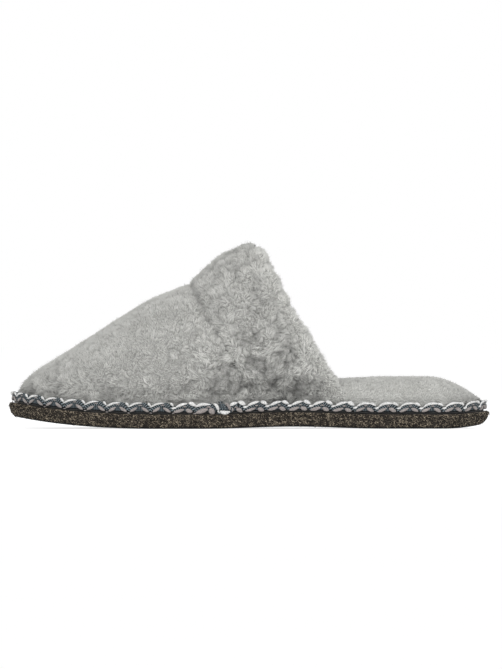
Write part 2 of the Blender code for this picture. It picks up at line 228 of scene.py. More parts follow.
def fill_mesh(name, points, faces):
    """A mesh from arrays: points, and faces that all have the same number of corners."""
    mesh = bpy.data.meshes.new(name)
    mesh.vertices.add(len(points))
    mesh.vertices.foreach_set("co", np.ascontiguousarray(points, np.float32).ravel())
    mesh.loops.add(faces.size)
    mesh.loops.foreach_set("vertex_index", np.ascontiguousarray(faces, np.int32).ravel())
    mesh.polygons.add(len(faces))
    mesh.polygons.foreach_set("loop_start", np.arange(0, faces.size, faces.shape[1], dtype=np.int32))
    mesh.update(calc_edges=True)
    mesh.shade_smooth()
    return mesh


def shade_points(mesh, values):
    """Stores a shade for each point, which the materials read."""
    attribute = mesh.attributes.new("shade", "FLOAT", "POINT")
    attribute.data.foreach_set("value", np.ascontiguousarray(values, np.float32).ravel())


def face_out(mesh):
    """Joins doubled points and points a closed mesh's faces outwards."""
    work = bmesh.new()
    work.from_mesh(mesh)
    bmesh.ops.remove_doubles(work, verts=work.verts, dist=0.01 * MM)
    bmesh.ops.dissolve_degenerate(work, edges=work.edges, dist=0.001 * MM)
    bmesh.ops.recalc_face_normals(work, faces=work.faces)
    work.to_mesh(mesh)
    work.free()
    mesh.shade_smooth()


def add_object(name, data):
    made = bpy.data.objects.new(name, data)
    bpy.context.scene.collection.objects.link(made)
    return made


def add_piece(name, mesh, material, replaced=()):
    mesh.materials.append(material)
    piece = add_object(name, mesh)
    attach(piece, "root")
    if replaced:
        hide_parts(*replaced)
    return piece


def grid_faces(rows, columns, wrap=False):
    i, j = np.meshgrid(np.arange(rows - 1), np.arange(columns if wrap else columns - 1), indexing="ij")
    here = i * columns + j
    beside = i * columns + (j + 1) % columns
    return np.stack([here, beside, beside + columns, here + columns], -1).reshape(-1, 4)


def shell(name, outer, inner, material, replaced=()):
    """A closed piece between two grids of points."""
    rows, columns = outer.shape[:2]
    size = rows * columns
    numbers = np.arange(size).reshape(rows, columns)
    border = np.concatenate([numbers[0], numbers[1:, -1], numbers[-1, -2::-1], numbers[-2:0:-1, 0]])
    following = np.roll(border, -1)
    faces = grid_faces(rows, columns)
    sides = np.stack([border, following, following + size, border + size], -1)
    faces = np.concatenate([faces, faces[:, ::-1] + size, sides])
    mesh = fill_mesh(name, np.concatenate([outer.reshape(-1, 3), inner.reshape(-1, 3)]), faces)
    face_out(mesh)
    return add_piece(name, mesh, material, replaced)


def grid_normals(grid, centre):
    """Normals of a grid of points, facing away from the line of centre points."""
    normals = unit(np.cross(np.gradient(grid, axis=0), np.gradient(grid, axis=1)))
    away = np.sum(normals * (grid - centre), -1)
    return normals * np.where(np.median(away) < 0, -1, 1)


def cell_areas(grid):
    a, b, c, d = grid[:-1, :-1], grid[:-1, 1:], grid[1:, 1:], grid[1:, :-1]
    return np.linalg.norm(np.cross(c - a, d - b), axis=-1) / 2


def scatter(grid, normals, count, weights=None, relief=None):
    """Random points on a grid's surface, evenly by area: their places, normals and relief."""
    area = cell_areas(grid)
    if weights is not None:
        area = area * weights[:-1, :-1]
    total = np.cumsum(area.ravel())
    cell = np.searchsorted(total, random.random(count) * total[-1])
    i, j = np.unravel_index(np.minimum(cell, area.size - 1), area.shape)
    down, right = random.random((2, count, 1))

    def blend(values):
        upper = values[i, j] * (1 - right) + values[i, j + 1] * right
        lower = values[i + 1, j] * (1 - right) + values[i + 1, j + 1] * right
        return upper * (1 - down) + lower * down

    heights = np.zeros(count) if relief is None else blend(relief[..., None])[:, 0]
    return blend(grid), unit(blend(normals)), heights


# ---- tufts and fibres


def nearest(centres, points):
    """Which centre is nearest each point."""
    tree = kdtree.KDTree(len(centres))
    for i, centre in enumerate(centres):
        tree.insert(centre, i)
    tree.balance()
    flat = points.reshape(-1, 3)
    return np.array([tree.find(point)[1] for point in flat]).reshape(points.shape[:-1])


def tufted(grid, normals, spacing, height, seed, bold=None):
    """The grid raised into soft tufts, the tufts' centres and the relief, mostly between -1 and 1.

    bold makes the tufts higher and bigger in places.
    """
    centres, _, _ = scatter(grid, normals, int(cell_areas(grid).sum() / spacing**2))
    chosen = nearest(centres, grid + warp(grid))
    reach = np.linalg.norm(grid - centres[chosen], axis=-1) / (0.75 * spacing)
    bump = np.clip(1 - reach**2, -0.6, 1)
    clumps = cloud(grid, spacing, seed) - 0.5
    big = cloud(grid, spacing * 1.9, seed + 3) - 0.5
    rough = cloud(grid, spacing * 0.5, seed + 1) - 0.5
    rolling = cloud(grid, spacing * 3.6, seed + 2) - 0.5
    strength = np.zeros(grid.shape[:-1]) if bold is None else bold(grid)
    relief = (0.35 + 0.65 * strength) * (bump * 0.25 + clumps * 1.25 + rough * 0.4) + strength * big * 0.9
    relief -= 0.45 * strength * crevices(grid, spacing * 1.5)
    rise = height * (relief * (1 + strength) + rolling * 0.9)
    return grid + normals * rise[..., None], centres, relief


def crevices(points, size):
    """1 along thin winding lines, where the pile parts, falling to 0 beside them."""
    near = (cloud(points, size, 91) - 0.5) / 0.085
    finer = (cloud(points, size * 0.62, 95) - 0.5) / 0.085
    return np.maximum(np.exp(-(near**2)), 0.45 * np.exp(-(finer**2)))


def warp(points):
    """Small smooth shifts that give the tufts uneven outlines."""
    return drifting(points, 2.1 * MM, (71, 72, 73)) * 3.6 * MM


def grow(name, grid, normals, tufts, look, material, weights=None, comb=(0, 0, 0), bold=None):
    """Fibres on a grid's surface, leaning together into tufts. look holds their counts and sizes."""
    centres, relief = tufts
    count = int(cell_areas(grid).sum() * look["per_mm2"] / MM**2)
    roots, out, heights = scatter(grid, normals, count, weights, relief)
    strength = np.zeros(count) if bold is None else bold(roots)
    chosen = nearest(centres, roots + warp(roots))
    pull = centres[chosen] - roots
    pull -= out * np.sum(pull * out, -1, keepdims=True)
    length = look["length"] * (0.86 + 0.28 * random.random(count)) * (1 + 0.6 * strength)
    stray = random.random(count) < look["strays"]
    filler = ~stray & (random.random(count) < 0.35)
    length = length * np.where(stray, look["stray_length"], np.where(filler, 0.8, 1.0))
    length = length[:, None]
    tuft_cells = np.stack([chosen] * 3, -1)
    own = np.stack([hashed(tuft_cells, seed) for seed in (61, 62, 63)], -1) - 0.5
    drift = drifting(roots, look["drift_size"], (11, 12, 13))
    bent = (0.6 + 1.2 * strength)[:, None]
    lean = drift * look["drift"] * bent + own * look["tuft_lean"] * bent + np.array(comb)
    lean -= out * np.sum(lean * out, -1, keepdims=True)
    aim = unit(out + lean + random.normal(size=(count, 3)) * look["shake"])
    gather = look["pull"] * (0.5 + strength) * (0.6 + 0.6 * random.random(count))
    gather = (gather * np.where(stray | filler, 0.2, 1.0))[:, None]
    tips = roots + aim * length + pull * gather
    mids = roots + unit(out + lean * 0.5) * length * 0.66 + pull * gather * 0.35
    mids += random.normal(size=(count, 3)) * look["curl"]
    roots = roots - out * ROOT_DEPTH
    thick = look["thick"] * (0.7 + 0.6 * random.random(count)) * np.where(stray, 0.7, 1.0)
    shade = fibre_shades(roots, heights, tuft_cells, strength, look)
    soft = unit(out + aim * 0.5 + pull * 0.12 / MM)
    pieces = math.ceil(count / FIBRES_PER_PIECE)
    for i in range(pieces):
        part = slice(i * count // pieces, (i + 1) * count // pieces)
        mesh = fibre_mesh(f"{name}_{i + 1}", roots[part], mids[part], tips[part], thick[part], shade[part])
        soften(mesh, soft[part])
        add_piece(f"{name}_{i + 1}", mesh, material)


def fibre_shades(roots, heights, tuft_cells, strength, look):
    """Each fibre's shade: random tone and painted shade, darker in creases, low on the sides, along the seam
    and just over the braid.
    """
    shade = 1 + (random.random(len(roots)) - 0.5) * look["fleck"]
    shade += (hashed(tuft_cells, 5) - 0.5) * look["tuft_fleck"] * (0.4 + 1.2 * strength)
    # painted shade from the relief: lighter on the tufts' tops, darker in the creases
    shade += np.tanh(2.2 * heights + 0.1) * look["creases"] * (0.6 + 0.6 * strength)
    shade += (cloud(roots, 10 * MM, 83) - 0.5) * 0.30 * strength
    # painted shade: darker low on the sides and in the big locks, in the seam's crease, and a painted shadow
    # just over the braid
    low = 1 - smooth_step(13 * MM, 42 * MM, roots[:, 2])
    foot = 1 - smooth_step(15 * MM, 18.5 * MM, roots[:, 2] - lift(roots[:, 0] + LENGTH / 2))
    shade -= low * (0.02 + 0.20 * strength) + 0.18 * strength + 0.06 * seam_crease_shade(roots) + 0.22 * foot
    return shade


def soften(mesh, normals):
    """Gives each fibre one shading normal near the fabric's, as fine wool scatters light."""
    mesh.normals_split_custom_set_from_vertices(np.repeat(normals, FIBRE_POINTS, axis=0).tolist())


FIBRE_LEVELS = np.array([0, 0, 0, 1, 1, 1, 2])
FIBRE_POINTS = len(FIBRE_LEVELS)
FIBRE_FACES = np.array(
    [(0, 2, 1)]
    + [(k, (k + 1) % 3, 3 + (k + 1) % 3) for k in range(3)]
    + [(k, 3 + (k + 1) % 3, 3 + k) for k in range(3)]
    + [(3 + k, 3 + (k + 1) % 3, 6) for k in range(3)]
)
# Shade at each fibre's root, middle and tip: the darker roots are painted shade deep in the pile.
FIBRE_SHADES = np.array([0.66, 0.95, 1.02])


def fibre_mesh(name, roots, mids, tips, thick, shade):
    """Closed, pointed, three-sided fibres, each with shaded points and its own strip of the UV map."""
    count = len(roots)
    along = unit(tips - roots)
    side = unit(np.cross(along, random.normal(size=(count, 3))))
    other = np.cross(along, side)
    rings = []
    for centre, share in ((roots, 1.0), (mids, 0.9)):
        for k in range(3):
            angle = 2 * math.pi * k / 3
            spoke = side * math.cos(angle) + other * math.sin(angle)
            rings.append(centre + spoke * (thick * share)[:, None])
    points = np.stack(rings + [tips], 1)
    faces = FIBRE_FACES[None] + FIBRE_POINTS * np.arange(count)[:, None, None]
    mesh = fill_mesh(name, points.reshape(-1, 3), faces.reshape(-1, 3))
    values = (shade[:, None] * FIBRE_SHADES[FIBRE_LEVELS]).astype(np.float32)
    shade_points(mesh, values)
    across = math.ceil(math.sqrt(count))
    column, row = np.arange(count) % across, np.arange(count) // across
    corner = FIBRE_FACES[None].repeat(count, 0)
    u = (column[:, None, None] + 0.15 + 0.35 * (corner % 3)) / across
    v = (row[:, None, None] + 0.1 + 0.4 * FIBRE_LEVELS[corner]) / across
    layer = mesh.uv_layers.new(name="OFBake")
    layer.data.foreach_set("uv", np.stack([u, v], -1).astype(np.float32).ravel())
    return mesh


# ---- materials


def set_inputs(node, levels):
    for key, value in levels.items():
        node.inputs[key].default_value = value


class Shader:
    """A material being built: a Principled BSDF and short ways to add and join nodes."""

    def __init__(self, name, roughness=0.9, sheen=0.0):
        self.material = bpy.data.materials.new(name)
        self.material.use_nodes = True
        self.tree = self.material.node_tree
        self.principled = self.tree.nodes["Principled BSDF"]
        set_inputs(self.principled, {"Roughness": roughness, "Specular IOR Level": 0.25})
        set_inputs(self.principled, {"Sheen Weight": sheen, "Sheen Roughness": 0.6})

    def node(self, kind, **settings):
        made = self.tree.nodes.new(kind)
        for key, value in settings.items():
            setattr(made, key, value)
        return made

    def join(self, source, target):
        self.tree.links.new(source, target)

    def noise(self, size, detail, roughness=0.6, stretch=None):
        """Noise in metres of the object's own space."""
        place_node = self.node("ShaderNodeTexCoord")
        texture = self.node("ShaderNodeTexNoise")
        set_inputs(texture, {"Scale": 1 / size, "Detail": detail, "Roughness": roughness})
        source = place_node.outputs["Object"]
        if stretch:
            mapping = self.node("ShaderNodeMapping")
            set_inputs(mapping, {"Scale": stretch})
            self.join(source, mapping.inputs["Vector"])
            source = mapping.outputs["Vector"]
        self.join(source, texture.inputs["Vector"])
        return texture.outputs["Fac"]

    def ramp(self, source, stops):
        ramp = self.node("ShaderNodeValToRGB")
        while len(ramp.color_ramp.elements) < len(stops):
            ramp.color_ramp.elements.new(0.5)
        for element, (position, colour) in zip(ramp.color_ramp.elements, stops):
            element.position = position
            element.color = (*colour, 1)
        self.join(source, ramp.inputs["Fac"])
        return ramp.outputs["Color"]

    def shade(self):
        """The shade stored on each point."""
        return self.node("ShaderNodeAttribute", attribute_name="shade").outputs["Fac"]

    def multiply(self, a, b):
        mix = self.node("ShaderNodeMix", data_type="RGBA", blend_type="MULTIPLY")
        set_inputs(mix, {"Factor": 1})
        self.join(a, mix.inputs[6])
        self.join(b, mix.inputs[7])
        return mix.outputs[2]

    def colour(self, source):
        self.join(source, self.principled.inputs["Base Color"])

    def bump(self, source, distance):
        bump = self.node("ShaderNodeBump")
        set_inputs(bump, {"Distance": distance, "Strength": 1})
        self.join(source, bump.inputs["Height"])
        self.join(bump.outputs["Normal"], self.principled.inputs["Normal"])


def grey(value, tint=(1.0, 1.0, 0.955)):
    return tuple(value * part for part in tint)


def pile_material(name, level):
    """Fibres: a soft grey that follows each fibre's shade, which holds painted shade, with slow changes over
    the fabric.
    """
    made = Shader(name, roughness=0.85, sheen=0.06)
    tone = made.ramp(made.shade(), [(0.0, grey(0.0)), (1.0, grey(level))])
    slow = made.ramp(made.noise(22 * MM, 3), [(0.3, (0.93,) * 3), (0.7, (1.0,) * 3)])
    made.colour(made.multiply(tone, slow))
    return made.material


def grainy_material(name, size, detail, stops, relief, **surface):
    """A material whose colour and relief follow one noise."""
    made = Shader(name, **surface)
    grain = made.noise(size, detail)
    made.colour(made.ramp(grain, stops))
    made.bump(grain, relief)
    return made.material


def ground_material(name, level):
    """The knitted ground under the pile, given a darker grey than the pile: painted shade deep among the
    fibres.
    """
    stops = [(0.3, grey(level * 0.7)), (0.7, grey(level))]
    return grainy_material(name, 0.8 * MM, 4, stops, 0.5 * MM, roughness=0.95, sheen=0.1)


def felt_material():
    """Pressed felt: near-black and brown wool with pale flecks through it."""
    made = Shader("felt", roughness=0.95, sheen=0.05)
    fibres = made.noise(0.65 * MM, 5, 0.75, (0.5, 0.8, 1.0))
    stops = [
        (0.36, (0.006, 0.005, 0.004)),
        (0.46, (0.022, 0.017, 0.013)),
        (0.56, (0.060, 0.048, 0.036)),
        (0.67, (0.220, 0.178, 0.134)),
    ]
    made.colour(made.ramp(fibres, stops))
    made.bump(made.noise(0.5 * MM, 4), 0.4 * MM)
    return made.material


def loose_fibre_material(name, level_low, level_high, tint):
    made = Shader(name, roughness=0.9)
    stops = [(0.0, grey(level_low, tint)), (1.0, grey(level_high, tint))]
    made.colour(made.ramp(made.shade(), stops))
    return made.material


def yarn_material(name, dark, light, speckle=0.45 * MM):
    """Twisted yarn: flecked, with fine ridges."""
    made = Shader(name, roughness=0.85, sheen=0.1)
    fleck = made.noise(speckle, 3, 0.7)
    made.colour(made.ramp(fleck, [(0.38, dark), (0.62, light)]))
    made.bump(made.noise(0.3 * MM, 2), 0.25 * MM)
    return made.material


def rubber_material():
    # Near-black rubber, made darker still: black rubber, and partly painted shadow under the sole's edge.
    stops = [(0.3, (0.003, 0.003, 0.003)), (0.7, (0.010, 0.010, 0.009))]
    return grainy_material("tread", 0.6 * MM, 4, stops, 0.2 * MM, roughness=0.8)


def inner_material(name, dark, light, size):
    """The board and the interlining, seen only if the slipper is cut open."""
    return grainy_material(name, size, 3, [(0.35, dark), (0.65, light)], size / 3, roughness=0.95)


# ---- the sole


RIM_STEPS = 420
TOE_TUCK, HEEL_TUCK = 2.0 * MM, 4.5 * MM
FELT_ROWS, FELT_EDGE_ROUND = 12, 0.9 * MM
FELT_CORE = np.array([0, 0, 0.004])
LEVEL_SHARE = 0.72


def rim_ring(inset, height):
    """A ring of points round the sole's edge, drawn in by inset: outer side first, from heel to toe."""
    angle = np.pi * np.arange(2 * RIM_STEPS) / RIM_STEPS
    t = inset + (LENGTH - 2 * inset) * (1 + np.cos(angle)) / 2
    side = np.where(np.arange(2 * RIM_STEPS) <= RIM_STEPS, -1, 1)
    return place(t, middle(t) + side * half_width(t, inset), height)


def rim_solid(name, profile, material, replaced, rough=0.0, grain=1.0 * MM, seed=1):
    """A closed sole-shaped piece from a profile of (inset, height) points, and its rings of points.

    Its flat faces are ladders of faces across the sole.
    """
    rings = np.stack([rim_ring(inset, height) for inset, height in profile])
    low = np.clip(1 - np.array([height for _, height in profile]) / FELT_TOP, 0, 1)[:, None] ** 2
    ends = smooth_step(0.6, 1.0, np.abs(rings[..., 0]) / (LENGTH / 2)) ** 2
    rings[..., 0] += np.where(rings[..., 0] < 0, TOE_TUCK, -HEEL_TUCK) * low * ends
    if rough:
        outward = grid_normals(rings, FELT_CORE)
        bumps = cloud(rings, grain, seed) + 0.6 * cloud(rings, grain * 2.7, seed + 1) - 0.8
        outward[0], outward[-1] = 0, 0
        rings = rings + outward * (bumps * rough)[..., None]
    rows, columns = rings.shape[:2]
    faces = grid_faces(rows, columns, wrap=True)
    i = np.arange(1, RIM_STEPS)
    ladder = np.stack([i, i + 1, (columns - i - 1) % columns, columns - i], -1)[:-1]
    faces = np.concatenate([faces, ladder, ladder[:, ::-1] + (rows - 1) * columns])
    triangles = []
    for first in (0, (rows - 1) * columns):
        toe = first + RIM_STEPS
        triangles += [[first, first + 1, first + columns - 1], [toe - 1, toe, toe + 1]]
    mesh = bpy.data.meshes.new(name)
    mesh.from_pydata(rings.reshape(-1, 3).tolist(), [], faces.tolist() + triangles)
    face_out(mesh)
    add_piece(name, mesh, material, replaced)
    return rings


def make_sole():
    felt = felt_material()
    below = [(9 * MM, FELT_BASE), (3 * MM, FELT_BASE)]
    side = []
    for k in range(FELT_ROWS + 1):
        inset = FELT_EDGE_ROUND * abs(2 * k / FELT_ROWS - 1) ** 4
        side.append((inset, FELT_BASE + (FELT_TOP - FELT_BASE) * k / FELT_ROWS))
    above = [(inset * MM, FELT_TOP) for inset in (2.0, 3.2, 5, 9)]
    profile = below + side + above
    rings = rim_solid("felt_sole_body", profile, felt, ["felt_sole"], 0.35 * MM, 1.1 * MM, 3)
    wall = rings[len(below) : len(below) + len(side)]
    wall = np.concatenate([wall, wall[:, :1]], axis=1)
    lay_fibres(wall, grid_normals(wall, FELT_CORE))
    coat = [(6 * MM, 0), (1.6 * MM, 0), (0.9 * MM, 0.25 * MM), (0.9 * MM, TREAD_TOP), (6 * MM, TREAD_TOP)]
    rim_solid("tread_sole_coat", coat, rubber_material(), ["tread_sole"])


def lay_fibres(wall, normals):
    """Short wool fibres that lie along the felt's edge, dark, brown and pale."""
    kinds = [
        ("felt_fibres_dark", 17000, 0.13 * MM, 2.0 * MM, (0.0, 0.04), (1.0, 0.84, 0.68)),
        ("felt_fibres_pale", 8200, 0.085 * MM, 1.5 * MM, (0.02, 0.75), (1.0, 0.84, 0.62)),
    ]
    for name, count, thick, length, levels, tint in kinds:
        roots, out, _ = scatter(wall, normals, count)
        flat = random.normal(size=(count, 3))
        flat *= np.where(random.random((count, 1)) < LEVEL_SHARE, (1, 1, 0.25), (0.4, 0.4, 1))
        flat -= out * np.sum(flat * out, -1, keepdims=True)
        flat = unit(flat)
        reach = length * (0.4 + 1.1 * random.random(count))[:, None]
        tips = roots + flat * reach + out * 0.12 * MM
        mids = roots + flat * reach * 0.5 + out * 0.2 * MM + random.normal(size=(count, 3)) * 0.12 * MM
        shades = 0.2 + 0.7 * random.random(count)
        felt_edge = FELT_TOP - 0.25 * MM + lift(roots[:, 0] + LENGTH / 2)
        for points in (mids, tips):
            points[:, 2] = np.clip(points[:, 2], 0.4 * MM, felt_edge)
        material = loose_fibre_material(name, *levels, tint)
        mesh = fibre_mesh(name, roots - out * 0.05 * MM, mids, tips, np.full(count, thick), shades)
        add_piece(name, mesh, material)


# ---- the upper


ARCH_STEPS, FOOT_CROWDING = 260, 0.6
VAMP_ROWS, BAND_ROWS, LINING_ROWS = 160, 90, 120
ROLL_STEPS, ROLL_SIDES = 260, 48
ROLL_SETBACK = 7.0 * MM
VAMP_PUFF = 0.5 * MM
SEAM_OVERLAP = 0.6 * MM
BAND_SETBACK, LINING_SETBACK = 2 * ROLL_RADIUS - 3.5 * MM, 2 * ROLL_RADIUS - 2 * MM


def arch_turns():
    """Steps over the arch, closer together near the sole."""
    s = np.linspace(0, 1, ARCH_STEPS + 1)
    return np.pi * (s - FOOT_CROWDING * np.sin(2 * np.pi * s) / (2 * np.pi))


def long_grid(inset, limit, rows, swell=0.0, start=None, ease=True):
    """Arch points from the toe, or from a starting cut, back to a cut, as rows by turns."""
    turn = arch_turns()
    first = np.full(turn.shape, inset) if start is None else where_arch_meets(turn, inset, start)
    last = where_arch_meets(turn, inset, limit)
    share = np.linspace(0, 1, rows + 1)[:, None]
    if ease:
        share = 1 - np.cos(np.pi / 2 * share)
    t = first + (last - first) * share
    return arch(t, np.broadcast_to(turn, t.shape), inset, swell * (1 - (1 - share) ** 4))


def sunk_ends(grid, normals, front, back, depth):
    """Rolls a grid's first and last few rows inwards, as pile does where it is sewn."""
    rows = len(grid)
    row = np.arange(rows)[:, None]
    dip = np.zeros((rows, 1))
    if front:
        dip += np.clip(1 - row / front, 0, 1) ** 2
    if back:
        dip += np.clip(1 - (rows - 1 - row) / back, 0, 1) ** 2
    return grid - normals * (dip * depth)[..., None]


# creases sets how much painted shade the pile's relief gives: lighter tufts, darker creases.
FLEECE_LOOK = {
    "per_mm2": 3.6,
    "length": 2.1 * MM,
    "strays": 0.03,
    "stray_length": 1.5,
    "drift_size": 8 * MM,
    "drift": 1.5,
    "tuft_lean": 0.9,
    "shake": 0.15,
    "pull": 0.5,
    "curl": 0.13 * MM,
    "thick": 0.115 * MM,
    "fleck": 0.07,
    "tuft_fleck": 0.10,
    "creases": 0.27,
}
FINE_LOOK = {**FLEECE_LOOK, "pull": 0.3, "tuft_lean": 0.5, "creases": 0.12, "tuft_fleck": 0.06}
LINING_LOOK = {**FINE_LOOK, "per_mm2": 1.2, "thick": 0.2 * MM, "length": 1.9 * MM}
INSOLE_LOOK = {**FINE_LOOK, "length": 1.5 * MM, "creases": 0.20, "fleck": 0.14}
ROLL_LOOK = {**FINE_LOOK, "length": 2.3 * MM, "strays": 0.08, "pull": 0.8}


def bold_pile(points):
    """Where the fleece forms its biggest locks: low on the sides below the instep."""
    away = np.hypot((points[..., 0] - 6 * MM) / (48 * MM), (points[..., 2] - 34 * MM) / (26 * MM))
    band = smooth_step(-45 * MM, -20 * MM, points[..., 0]) * 0.5
    low = (1 - smooth_step(16 * MM, 50 * MM, points[..., 2])) * 0.5
    return np.maximum(1 - smooth_step(0.3, 1.5, away), np.maximum(band, low))


def seam_crease_shade(points):
    """Mask of the painted shade in the seam's crease: 1 on the seam between vamp and band where it shows as
    a crease, near the top, and 0 away from it.
    """
    off = (points[..., 0] + LENGTH / 2 - seam(points[..., 2])) / (1.0 * MM)
    return np.exp(-(off**2)) * smooth_step(48 * MM, 66 * MM, points[..., 2])


def roll_boldness(points):
    return np.full(points.shape[:-1], ROLL_BOLDNESS)


def spine(grid):
    """A line of points inside the arch, under each row of a grid."""
    inside = grid.mean(axis=1, keepdims=True)
    return inside * np.array([1, 1, 0.5])


def fleece_part(part, pile_name, grid, inner, sinking, seed, pile, ground):
    """One part of the upper: its tufted ground, closed by an inner grid, and the pile that grows on it."""
    normals = grid_normals(grid, spine(grid))
    grid = sunk_ends(grid, normals, *sinking)
    grid, *tufts = tufted(grid, normals, FLEECE_TUFT, FLEECE_RELIEF, seed, bold_pile)
    shell(f"{part}_ground", grid, inner, ground, [part])
    normals = grid_normals(grid, spine(grid))
    grow(pile_name, grid, normals, tufts, FLEECE_LOOK, pile, bold=bold_pile)


def make_upper(pile, ground):
    """Vamp and band, which overlap a little at the seam."""

    def vamp_end(z):
        return seam(z) + SEAM_OVERLAP

    def band_start(z):
        return seam(z) - SEAM_OVERLAP

    def band_end(z):
        return topline(z, BAND_SETBACK)

    inner_inset = PILE_INSET + GROUND_DEPTH
    vamp = long_grid(PILE_INSET, vamp_end, VAMP_ROWS, VAMP_PUFF)
    inner = long_grid(inner_inset, vamp_end, VAMP_ROWS)
    fleece_part("vamp_fleece", "vamp_pile", vamp, inner, (0, 7, 2.0 * MM), 21, pile, ground)
    band = long_grid(PILE_INSET, band_end, BAND_ROWS, BAND_SWELL, band_start, ease=False)
    inner = long_grid(inner_inset, band_end, BAND_ROWS, 0, band_start, ease=False)
    fleece_part("band_fleece", "band_pile", band, inner, (5, 7, 1.6 * MM), 31, pile, ground)


def make_roll(pile, ground):
    """The rolled edge of the foot opening: a fat tube of fleece."""

    def roll_line(z):
        return topline(z, ROLL_SETBACK)

    turn = ROLL_END_TURN + (np.pi - 2 * ROLL_END_TURN) * np.linspace(0, 1, ROLL_STEPS + 1)
    foot = 1 - smooth_step(0, ROLL_FOOT_HEIGHT, np.sin(turn))
    inset = ROLL_INSET + ROLL_FOOT_DRAW * foot
    t = np.array([float(where_arch_meets(a, i, roll_line)) for a, i in zip(turn, inset)])
    line = np.array([arch(a, b, c) for a, b, c in zip(t, turn, inset)])
    radius = (ROLL_RADIUS - PILE_DEPTH) * (1 - ROLL_FOOT_THINNING * foot)
    tangent = unit(np.gradient(line, axis=0))
    side = unit(np.cross(tangent, np.array([1.0, 0, 0])))
    other = np.cross(tangent, side)
    angle = np.linspace(0, 2 * np.pi, ROLL_SIDES + 1)[None, :, None]
    ring = side[:, None] * np.cos(angle) + other[:, None] * np.sin(angle)
    grid = line[:, None] + ring * radius[:, None, None]
    raised, *tufts = tufted(grid, ring, ROLL_TUFT, ROLL_RELIEF, 41, roll_boldness)
    raised[:, -1] = raised[:, 0]
    faces = grid_faces(ROLL_STEPS + 1, ROLL_SIDES, wrap=True)
    points = np.concatenate([raised[:, :ROLL_SIDES].reshape(-1, 3), line[[0, -1]]])
    mesh = bpy.data.meshes.new("topline_roll_ground")
    start, end = len(points) - 2, len(points) - 1
    last = ROLL_STEPS * ROLL_SIDES
    around = [(k, (k + 1) % ROLL_SIDES) for k in range(ROLL_SIDES)]
    closing = [(start, b, a) for a, b in around] + [(end, last + a, last + b) for a, b in around]
    mesh.from_pydata(points.tolist(), [], faces.tolist() + closing)
    face_out(mesh)
    piece = add_piece("topline_roll_ground", mesh, ground, ["topline_roll"])
    grow("roll_pile", raised, ring, tufts, ROLL_LOOK, pile)


def make_lining(pile, ground):
    """The pile lining round the foot: its face looks inwards."""

    def lining_end(z):
        return topline(z, LINING_SETBACK)

    face = long_grid(CAVITY_INSET - 1.2 * MM, lining_end, LINING_ROWS)
    back = long_grid(LINING_INSET, lining_end, LINING_ROWS)
    normals = -grid_normals(face, spine(face))
    face, *tufts = tufted(face, normals, FINE_TUFT, FINE_RELIEF, 51)
    shell("upper_lining_ground", face, back, ground, ["upper_lining"])
    grow("lining_pile", face, normals, tufts, LINING_LOOK, pile)


# ---- the insole


INSOLE_COLUMNS, INSOLE_ROWS = 140, 300
INSOLE_EDGE = 4.6 * MM
INSOLE_TOP_SHARE = 0.86
HIDDEN_PILE = 0.35


def insole_inset(t):
    widening = smooth_step(50 * MM, 110 * MM, t)
    inside = CAVITY_INSET + 4 * MM * (1 - widening)
    return inside + (FLEECE_INSET + 0.4 * MM - inside) * smooth_step(178 * MM, 190 * MM, t)


def insole_grid(sink):
    """Points over the insole, as rows by places across, with its side walls as the outermost places."""
    start, end = insole_inset(0 * MM) + 0.4 * MM, LENGTH - FLEECE_INSET - 0.5 * MM
    t = start + (end - start) * (1 - np.cos(np.pi * np.arange(INSOLE_ROWS + 1) / INSOLE_ROWS)) / 2
    t = t[:, None]
    s = np.linspace(-1, 1, INSOLE_COLUMNS + 1)[None, :]
    across = np.sin(np.pi / 2 * np.clip(s / INSOLE_TOP_SHARE, -1, 1))
    wall = np.clip((np.abs(s) - INSOLE_TOP_SHARE) / (1 - INSOLE_TOP_SHARE), 0, 1)
    y = middle(t) + across * half_width(t, insole_inset(t))
    tail = np.clip((t - HEEL_SLOPE_START) / (LENGTH - FLEECE_INSET - HEEL_SLOPE_START), 0, 1)
    full = through(INSOLE_TOPS, t) - lift(t) - UPPER_BASE - PILE_DEPTH * 0.8
    edge = INSOLE_EDGE * smooth_step(50 * MM, 110 * MM, t)
    crown = np.maximum(full * (1 - HEEL_SLOPE * tail**HEEL_SLOPE_POWER), edge)
    dome = edge + (crown - edge) * (1 - np.abs(across) ** 4)
    rise = dome * (1 - wall) + 1.5 * MM * wall
    return place(np.broadcast_to(t, y.shape), y, UPPER_BASE + (rise if not sink else 1.0 * MM))


def make_insole(pile, ground):
    top, bottom = insole_grid(False), insole_grid(True)
    normals = grid_normals(top, np.array([0, 0, -0.2]))
    top, *tufts = tufted(top, normals, FINE_TUFT, FINE_RELIEF, 61)
    piece = shell("insole_fleece_ground", top, bottom, ground, ["insole_fleece", "footbed_foam"])
    seen = np.where(top[..., 0] > -20 * MM, 1.0, HIDDEN_PILE)
    grow("insole_pile", top, normals, tufts, INSOLE_LOOK, pile, weights=seen, comb=(0.3, 0, 0))


# ---- the braid


BRAID_FOOT = FELT_TOP
PLAIT_START, PLAIT_END = 13.6 * MM, 14.4 * MM  # from the join to the first and the last period
USUAL_PERIOD, STITCH, RIB = 12.4 * MM, 1.15 * MM, 0.95 * MM
SLATE_STEPS, TAPE_STEPS = 3900, 3600
STRAND_SIDES, JOIN_STEPS = 12, 20

